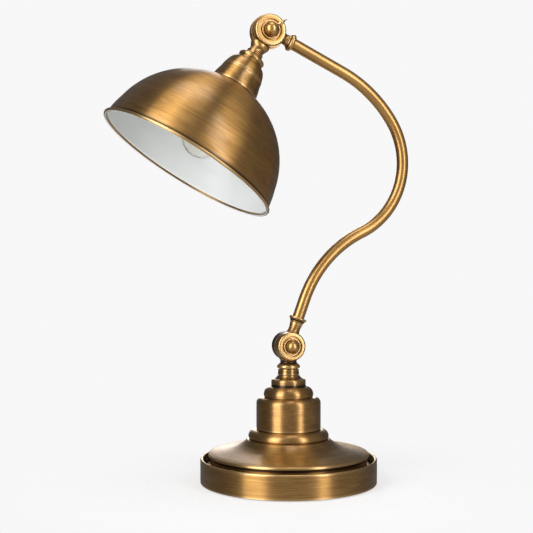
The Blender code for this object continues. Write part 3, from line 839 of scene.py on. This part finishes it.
def build_shade():
    neck = smooth([(8.0, 138.0), (9.2, 134.4), (9.3, 132.8), (8.6, 131.2), (7.4, 129.0),
                   (6.9, 127.2), (7.3, 125.5)], 5)
    outline = rounded([(0, 138.0)] + neck + [(0, 125.5)], 0.2)
    casting(outline, (0, 0, SHADE_PIVOT), UPPER_REAR_HUB, UPPER_HUB[0], 1, SHADE, "shade",
            "shade_knuckle")
    cap_nut("upper_cap_nut", UPPER_REAR_HUB, UPPER @ REAR, "shade")
    bore = 5.1
    collar = smooth([(7.4, 121.7), (8.1, 122.6), (7.5, 123.4), (8.1, 124.2), (7.4, 125.2)], 6)
    bead = arc((10.4, 117.6), 2.5, -58, 62, 16)
    cap = smooth([(20.0, 101.4), (18.8, 105.3), (17.3, 109.2), (15.7, 111.5), (13.0, 113.5)], 6)
    cup = smooth([(22.9, 87.0), (22.4, 90.5), (21.4, 94.2), (20.5, 98.0), (20.1, 101.1)], 6)
    pieces = (
        ("neck_collar", [(bore, 121.7)] + collar + [(bore, 125.2)], 80),
        ("cap_bead", [(bore, 115.0), (11.4, 115.0)] + bead + [(9.7, 121.0), (bore, 121.4)], 96),
        ("socket_cap", [(bore, 114.7), (bore, 112.6), (12.6, 111.8), (15.9, 108.6), (17.6, 104.6),
                        (18.7, 101.4)] + cap + [(12.6, 114.7)], 112),
        ("socket_cup", [(21.9, 85.1), (23.0, 85.1)] + cup
         + [(19.0, 101.1), (19.4, 98.0), (20.3, 94.0), (21.3, 90.3), (21.8, 87.0)], 112),
    )
    for node, outline, sides in pieces:
        place_piece(lathe(node + "_turned", rounded(outline, 0.3), SHADE, sides), node,
                    "shade", "brass")
    shell = lathe("shade_shell_spun", shell_outline(), SHADE, 192)
    place_piece(shell, "shade_shell", "shade", "shade")
    lining = lathe("shade_lining_enamel", lining_outline(), SHADE, 160)
    place_piece(lining, "shade_lining", "shade", "enamel")
    holder = rounded([(0, 101.0), (15.0, 101.0), (18.5, 97.0), (18.5, 66.0), (15.2, 66.0),
                      (15.2, 92.0), (0, 92.0)], 0.6)
    place_piece(lathe("holder_body_moulded", holder, SHADE, 96), "holder_body", "shade", "plastic")
    ring = rounded([(18.9, 79.4), (23.2, 79.4), (24.4, 80.4), (24.4, 81.4), (18.9, 82.0)], 0.4)
    place_piece(lathe("shade_ring_moulded", ring, SHADE, 96), "shade_ring", "shade", "plastic")
    bulb = lathe("bulb_glass_blown", bulb_outline(), SHADE, 80)
    place_piece(bulb, "bulb_glass", "shade", "glass")


def dress_cad_nodes():
    """The CAD nodes that stay in sight keep their shape and get a fine finish."""
    kept = {
        "steel": ("threaded_tube", "base_washer", "base_nut", "socket_nipple", "holder_shell",
                  "holder_contact", "bulb_cap", "bulb_contact"),
        "iron": ("base_weight",),
        "plastic": ("cord_bushing", "lower_friction_washer", "upper_friction_washer"),
    }
    for finish, nodes in kept.items():
        for node in nodes:
            slots = frame["nodes"][node].data.materials
            slots.clear()
            slots.append(MATERIALS[finish])


# ---------------------------------------------------------------- studio

LIGHT_AIM = Vector((0, 0, 0.2))
FLOOR_RADIUS = 0.6
FLOOR_DROP = 0.0002    # keeps the floor clear of the felt's underside


def floor_material():
    """Pale floor that fades into the background well away from the lamp."""
    finish = Finish("floor")
    place = finish.position()
    away = finish.add("ShaderNodeVectorMath", {0: place}, operation="LENGTH").outputs["Value"]
    finish.set(Base_Color=colour(0.92, 0.92, 0.92), Roughness=0.9,
               Alpha=finish.span(away, 0.09, 0.26, 0.35, 0.0))
    return finish.material


def build_floor():
    bm = bmesh.new()
    bmesh.ops.create_circle(bm, cap_ends=True, segments=96, radius=FLOOR_RADIUS)
    floor = finish_mesh("floor", bm, Matrix.Translation((0, 0, -FLOOR_DROP)))
    floor.data.materials.append(floor_material())
    floor.visible_glossy = False


def build_world():
    """Pale to the camera; to everything else a dim room, lighter in front, above and below."""
    world = bpy.data.worlds.new("studio")
    bpy.context.scene.world = world
    world.use_nodes = True
    tree = world.node_tree
    tree.nodes.clear()

    def add(kind, inputs=None, **settings):
        return add_node(tree, kind, inputs, **settings)

    place = add("ShaderNodeTexCoord")
    split = add("ShaderNodeSeparateXYZ", {"Vector": place.outputs["Generated"]})
    front = add("ShaderNodeMapRange", {"Value": split.outputs["Y"], "From Min": 0.3,
                                       "From Max": -0.9, "To Min": 0.11, "To Max": 0.40})
    above = add("ShaderNodeMapRange", {"Value": split.outputs["Z"], "From Min": 0.1,
                                       "From Max": 0.9, "To Min": 0.0, "To Max": 0.16})
    below = add("ShaderNodeMapRange", {"Value": split.outputs["Z"], "From Min": -0.05,
                                       "From Max": -0.8, "To Min": 0.0, "To Max": 0.45})
    ends = add("ShaderNodeMath", {0: above.outputs["Result"], 1: below.outputs["Result"]},
               operation="ADD")
    glow = add("ShaderNodeMath", {0: front.outputs["Result"], 1: ends.outputs["Value"]},
               operation="ADD")
    room = add("ShaderNodeBackground", {"Color": glow.outputs["Value"]})
    seen = add("ShaderNodeBackground", {"Color": (0.94, 0.935, 0.94, 1)})
    path = add("ShaderNodeLightPath")
    pick = add("ShaderNodeMixShader", {"Fac": path.outputs["Is Camera Ray"],
                                       1: room.outputs["Background"],
                                       2: seen.outputs["Background"]})
    add("ShaderNodeOutputWorld", {"Surface": pick.outputs["Shader"]})


def area_light(name, azimuth, height, distance, size, power):
    """A rectangular softbox; azimuth 0 is in front of the lamp and grows to the right."""
    data = bpy.data.lights.new(name, "AREA")
    data.shape = "RECTANGLE"
    data.size, data.size_y = size
    data.energy = power
    obj = bpy.data.objects.new(name, data)
    bpy.context.scene.collection.objects.link(obj)
    angle = radians(azimuth)
    obj.location = (distance * sin(angle), -distance * cos(angle), height)
    toward = LIGHT_AIM - obj.location
    obj.rotation_euler = toward.to_track_quat("-Z", "Y").to_euler()
    obj.visible_camera = False


def build_camera():
    camera = bpy.data.cameras.new("camera")
    camera.sensor_width = 36.0
    camera.lens = 67.4
    camera.clip_start = 0.01
    eye = bpy.data.objects.new("camera", camera)
    bpy.context.scene.collection.objects.link(eye)
    eye.location = (-0.2931, -0.8882, 0.2015)
    eye.rotation_euler = (radians(90), 0, radians(-17))
    bpy.context.scene.camera = eye


def build_studio():
    build_floor()
    build_world()
    area_light("softbox_left", -60, 0.55, 1.1, (0.62, 1.5), 16.0)
    area_light("softbox_right", 26, 0.55, 1.1, (0.28, 1.5), 7.8)
    area_light("softbox_top", 0, 1.5, 0.1, (0.6, 0.6), 4.0)
    area_light("softbox_back", 165, 0.6, 1.2, (0.35, 1.2), 4.0)
    build_camera()
    bpy.context.scene.view_settings.view_transform = "Standard"


build_base()
build_stem()
build_arm()
build_shade()
dress_cad_nodes()
build_studio()
